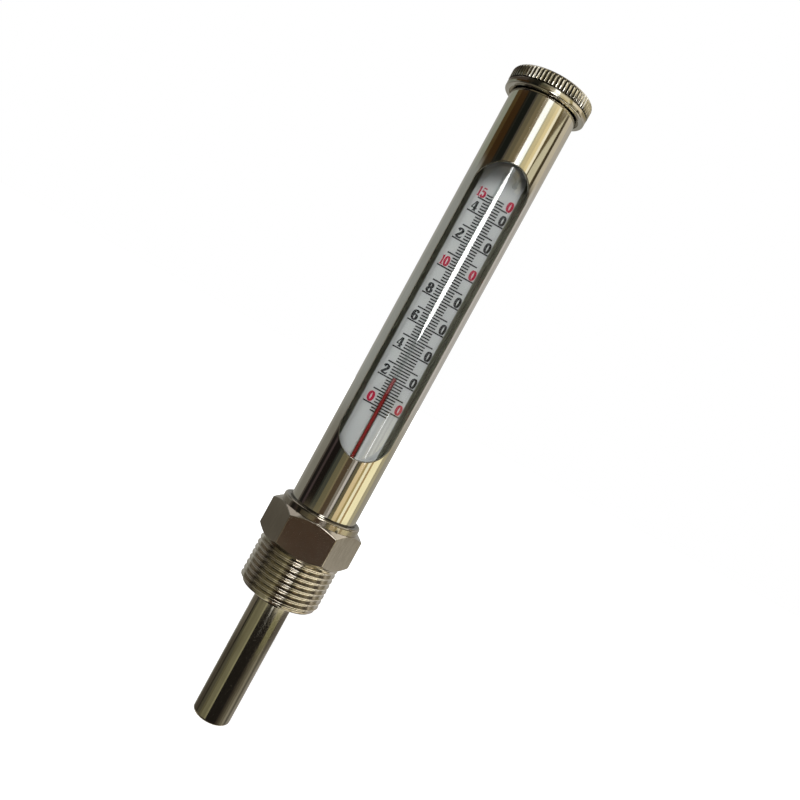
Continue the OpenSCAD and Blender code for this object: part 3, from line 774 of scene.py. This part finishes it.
def lamp(name, place, aim, size, watts, color):
    data = bpy.data.lights.new(name, "AREA")
    data.shape = "RECTANGLE"
    data.size, data.size_y = size
    data.energy = watts
    data.color = color
    obj = bpy.data.objects.new(name, data)
    obj.location = place
    obj.rotation_euler = (Vector(aim) - Vector(place)).to_track_quat("-Z", "Y").to_euler()
    obj.visible_glossy = obj.visible_transmission = obj.visible_camera = False
    scene.collection.objects.link(obj)


lamp("key", (-0.25, -0.95, 0.40), (0, 0, 0.07), (0.45, 0.45), 14.3, (1.0, 0.99, 0.98))
lamp("fill", (0.8, -0.6, 0.2), (0, 0, 0.05), (0.6, 0.8), 2.0, (0.95, 0.97, 1.0))


FLOOR, FLOOR_HALF = -105.0, 4000
WHITE_FROM, WHITE_TO = 0.2, 0.6  # distance in metres over which the floor fades into the white background

corners = [(x * FLOOR_HALF, y * FLOOR_HALF, FLOOR) for x, y in ((-1, -1), (1, -1), (1, 1), (-1, 1))]
floor = mesh_object("floor", corners, [(0, 1, 2, 3)])
floor_paint, t = new_paint("floor_paint")
x, y, _ = t.point_xyz()
lift = t.math("MULTIPLY", t.ray("Camera"), t.spread(t.length(x, y), 0.6, 1.2, WHITE_FROM, WHITE_TO))
mottle = t.blend(t.noise((1, 1, 1), 30.0), (0.88, 0.88, 0.88, 1), (0.92, 0.92, 0.92, 1))
paint = t.blend(t.ray("Camera"), (0.3, 0.3, 0.3, 1), mottle)
t.out(t.add("ShaderNodeBsdfPrincipled", Base_Color=paint, Roughness=0.8, Emission_Color=WHITE,
            Emission_Strength=lift).outputs[0])
floor.data.materials.append(floor_paint)


CENTRE, TENT_R, CARD_R, TENT_RINGS, TENT_SIDES, TENT_GAP = 66.0, 1200, 1180, 60, 96, 2


def tent_points(low):
    """A dome with a flat bottom, for the cards that surround the object."""
    points, faces = [], []
    for i in range(TENT_RINGS + 1):
        rise = math.pi * i / TENT_RINGS - math.pi / 2
        for j in range(TENT_SIDES):
            turn = 2 * math.pi * j / TENT_SIDES
            points.append((TENT_R * math.cos(rise) * math.cos(turn), TENT_R * math.cos(rise) * math.sin(turn),
                           max(TENT_R * math.sin(rise), low)))
    for i in range(0, TENT_RINGS * TENT_SIDES, TENT_SIDES):
        for j in range(TENT_SIDES):
            k = (j + 1) % TENT_SIDES
            faces.append((i + j, i + k, i + TENT_SIDES + k, i + TENT_SIDES + j))
    return points, faces


def only_reflected(obj):
    """Centres a card on the object's middle height, and shows it in reflections alone."""
    obj.location = (0, 0, CENTRE * MM)
    obj.visible_camera = obj.visible_diffuse = obj.visible_shadow = obj.visible_transmission = False


tent = mesh_object("cards", *tent_points(FLOOR + TENT_GAP - CENTRE))
only_reflected(tent)

# The studio's cards, as tiers of a dome from the lowest up. Each card: degrees round from the front, to the
# right, where it starts, and its colour. Most colours of LOWER, MIDDLE, UPPER and RAFTERS were worked out from
# colours read off the metal's bands in the photo, and the other tiers were corrected against such readings.
UNDER = [(-180, 0.55, 0.50, 0.40), (-95, 0.03, 0.025, 0.02), (95, 0.55, 0.50, 0.40)]
FOOT = [(-180, 0.08, 0.07, 0.055), (-101, 0.03, 0.026, 0.02), (-90, 0.09, 0.085, 0.06), (-70, 0.14, 0.13, 0.08),
        (-57, 0.20, 0.19, 0.12), (-30, 0.30, 0.29, 0.18), (-22, 0.016, 0.014, 0.012), (38, 0.05, 0.042, 0.033),
        (50, 0.09, 0.08, 0.06), (63, 0.16, 0.145, 0.11), (78, 0.28, 0.26, 0.21), (94, 0.13, 0.12, 0.10),
        (112, 0.30, 0.28, 0.25)]
BOTTOM = [(-180, 0.15, 0.135, 0.11), (-101, 0.02, 0.018, 0.014), (-90, 0.09, 0.085, 0.055),
          (-78, 0.20, 0.19, 0.12), (-30, 0.30, 0.29, 0.18), (-22, 0.016, 0.014, 0.012), (50, 0.22, 0.21, 0.11),
          (86, 0.05, 0.04, 0.03), (95, 0.12, 0.105, 0.09)]
SCREW = [(-180, 0.19, 0.175, 0.15), (-122, 0.15, 0.138, 0.125), (-86, 0.067, 0.06, 0.05),
         (-76, 0.13, 0.12, 0.095), (-48, 0.27, 0.255, 0.19), (-32, 0.60, 0.57, 0.42), (-16, 0.35, 0.33, 0.25),
         (-6, 0.05, 0.046, 0.036), (1, 0.3, 0.29, 0.25), (8.5, 3.0, 3.0, 2.9), (17.5, 0.25, 0.235, 0.19),
         (25, 1.1, 1.04, 0.80), (33, 2.1, 1.98, 1.62), (90, 1.2, 1.14, 1.0), (103, 0.6, 0.57, 0.5),
         (115, 0.72, 0.69, 0.62)]
GIRTH = [(-180, 0.108, 0.10, 0.082), (-112, 0.08, 0.072, 0.06), (-92, 0.012, 0.012, 0.012),
         (-72, 0.20, 0.17, 0.11), (-16, 0.072, 0.045, 0.031), (3, 0.30, 0.28, 0.28), (12, 0.03, 0.028, 0.022),
         (22, 0.34, 0.31, 0.19), (50, 0.12, 0.10, 0.06), (60, 0.38, 0.33, 0.24), (84, 0.05, 0.045, 0.035),
         (93, 0.38, 0.36, 0.31)]
LOWER = [(-180, 0.19, 0.185, 0.16), (-101, 0.065, 0.055, 0.045), (-94, 0.011, 0.009, 0.008),
         (-81, 0.045, 0.033, 0.033), (-73, 0.009, 0.007, 0.006), (-51, 0.022, 0.025, 0.021),
         (-46, 0.05, 0.052, 0.04), (-33, 0.13, 0.115, 0.065), (-18, 0.18, 0.15, 0.085),
         (-12, 0.075, 0.053, 0.032), (4, 0.20, 0.18, 0.15), (12, 0.48, 0.45, 0.42), (18.5, 0.055, 0.052, 0.042),
         (23.5, 0.11, 0.096, 0.056), (33.5, 0.63, 0.50, 0.29), (47, 0.36, 0.28, 0.12), (54.5, 0.87, 0.82, 0.60),
         (63.5, 0.36, 0.25, 0.11), (71.5, 0.90, 0.83, 0.54), (96, 0.37, 0.335, 0.22), (115, 0.28, 0.26, 0.21)]
MIDDLE = [(-180, 0.257, 0.27, 0.26), (-102.5, 0.22, 0.22, 0.19), (-98, 0.09, 0.09, 0.07),
          (-93, 0.04, 0.038, 0.027), (-70, 0.02, 0.02, 0.016), (-40, 0.03, 0.028, 0.02),
          (-10, 0.04, 0.038, 0.03), (16, 0.05, 0.046, 0.036), (103, 0.16, 0.15, 0.12),
          (108, 0.48, 0.46, 0.44), (124, 0.40, 0.383, 0.37)]
UPPER = [(-180, 0.23, 0.245, 0.20), (-114, 0.063, 0.04, 0.014), (-96, 0.036, 0.018, 0.006),
         (-71, 0.014, 0.011, 0.007), (-65.5, 0.02, 0.02, 0.016), (-62, 0.008, 0.009, 0.007),
         (-42.5, 0.063, 0.055, 0.042), (-37.5, 0.113, 0.096, 0.058), (-23, 0.156, 0.126, 0.071),
         (-10, 0.22, 0.177, 0.11), (-1.5, 1.12, 1.16, 1.13), (16.3, 0.445, 0.425, 0.29),
         (20.3, 0.58, 0.50, 0.29), (33.5, 0.75, 0.63, 0.36), (43.5, 0.88, 0.82, 0.62),
         (50.8, 0.10, 0.074, 0.033), (82, 0.05, 0.038, 0.019), (92, 0.50, 0.45, 0.35), (115, 0.39, 0.36, 0.31)]
RAFTERS = [(-180, 0.065, 0.053, 0.043), (-80, 0.028, 0.024, 0.016), (-61.5, 0.016, 0.016, 0.012),
           (-38.5, 0.10, 0.10, 0.063), (-22, 0.21, 0.19, 0.12), (-11.5, 0.39, 0.34, 0.24), (-1, 1.1, 1.1, 1.05),
           (16, 0.82, 0.76, 0.55), (48, 0.48, 0.41, 0.20), (60, 1.0, 0.93, 0.75), (81.5, 0.9, 0.8, 0.6),
           (103, 0.30, 0.26, 0.16)]
CROWN = [(-180, 0.05, 0.045, 0.035), (-75, 0.015, 0.014, 0.011), (-35, 0.42, 0.40, 0.32),
         (60, 0.30, 0.27, 0.19), (100, 0.10, 0.09, 0.07)]
VAULT = [(-180, 0.2, 0.19, 0.165), (-95, 0.04, 0.035, 0.025), (95, 0.2, 0.19, 0.165)]


def tier(t, turn, cards):
    """The colours of one tier, by the angle round the object as a share of a whole turn."""
    node = t.add("ShaderNodeValToRGB", Fac=turn)
    ramp = node.color_ramp
    ramp.interpolation = "CONSTANT"
    while len(ramp.elements) < len(cards):
        ramp.elements.new(1.0)
    for element, (start, *color) in zip(ramp.elements, cards):
        element.position = (start + 180) / 360
        element.color = (*color, 1)
    return node.outputs["Color"]


# Rise in degrees over which each tier gives way to the next one above
STEPS = [(-74, -70), (-44, -38), (-32, -31), (-24.2, -23.4), (-16.8, -15.8), (-7, -2), (16, 17.5), (22.8, 23.4),
         (30, 36), (44, 56)]
TIERS = (UNDER, FOOT, BOTTOM, SCREW, GIRTH, LOWER, MIDDLE, UPPER, RAFTERS, CROWN, VAULT)
BACK_FROM, BACK_TO = 130, 172  # degrees round, over which the cards fade into the plain backdrop
BACK_RISE, BACK_LOW, BACK_HIGH = (20, 26), (0.32, 0.315, 0.29, 1), (0.15, 0.14, 0.12, 1)
TENT_STRENGTH, CARD_STEPS = 1.35, 6

card_paint, t = new_paint("card_paint")
x, y, z = t.point_xyz()
turn = t.math("ADD", t.math("DIVIDE", t.math("ARCTAN2", x, t.math("MULTIPLY", y, -1.0)), 2 * math.pi), 0.5)
rise = t.math("MULTIPLY", t.math("ARCTAN2", z, t.length(x, y)), 180 / math.pi)
light, *above = [tier(t, turn, cards) for cards in TIERS]
for color, (low, high) in zip(above, STEPS):
    light = t.blend(t.spread(rise, 0.0, 1.0, low, high), light, color)
behind = t.spread(t.math("ABSOLUTE", t.math("SUBTRACT", turn, 0.5)), 0.0, 1.0, BACK_FROM / 360, BACK_TO / 360)
backdrop = t.blend(t.spread(rise, 0.0, 1.0, *BACK_RISE), BACK_LOW, BACK_HIGH)
light = t.blend(behind, light, backdrop)
t.out(t.add("ShaderNodeEmission", Color=light, Strength=TENT_STRENGTH).outputs[0])
tent.data.materials.append(card_paint)


def bright_card(name, edges, strength, color):
    """A lit card on the tent, given as (rise, left, right) in degrees from below to above."""
    rows = []
    for rise, left, right in edges:
        r, z = CARD_R * math.cos(math.radians(rise)), CARD_R * math.sin(math.radians(rise))
        rows.append([around(r, mix(left, right, i / CARD_STEPS) - 90, z) for i in range(CARD_STEPS + 1)])
    card = mesh_object(name, *grid(rows))
    only_reflected(card)
    paint, t = new_paint(name)
    power = t.math("MULTIPLY", t.math("SUBTRACT", 1.0, t.ray("Transmission")), strength)
    t.out(t.add("ShaderNodeEmission", Color=(*color, 1), Strength=power).outputs[0])
    card.data.materials.append(paint)


WINDOW = [(2.0, 2, 3), (2.25, 0.8, 4.2), (3.06, -1.4, 6.9), (4.03, -3.75, 8.5), (5.32, -5.3, 9.7),
          (6.93, -5.7, 10.9), (9.31, -5.7, 12.1), (11.7, -5.3, 12.1), (14.0, -3.2, 12.1), (15.9, -1.8, 11.3),
          (17.0, 1.4, 8.1), (17.6, 4, 6)]
WEDGE = [(16, 55.5, 80), (18.3, 56, 80), (20.5, 64, 82), (22.7, 81.5, 82.5)]

bright_card("window_card", WINDOW, 9.0, (1.0, 1.0, 0.98))
bright_card("wedge_card", WEDGE, 0.9, (0.80, 0.74, 0.52))
bright_card("skylight_card", [(24, 3, 17), (48, 3, 17)], 3.0, (1.0, 1.0, 0.96))
bright_card("knurl_card", [(23.8, -11, -1), (26.5, -11, -1)], 1.5, (0.95, 0.92, 0.82))
bright_card("left_roof_card", [(36, -168, -108), (64, -168, -108)], 0.75, (1.0, 0.96, 0.92))
bright_card("right_roof_card", [(36, 108, 168), (64, 108, 168)], 1.1, (1.0, 0.95, 0.85))
bright_card("strip_card", [(-8.2, 41.4, 45.2), (-4.0, 41.4, 45.2)], 3.6, (1.0, 1.0, 0.98))
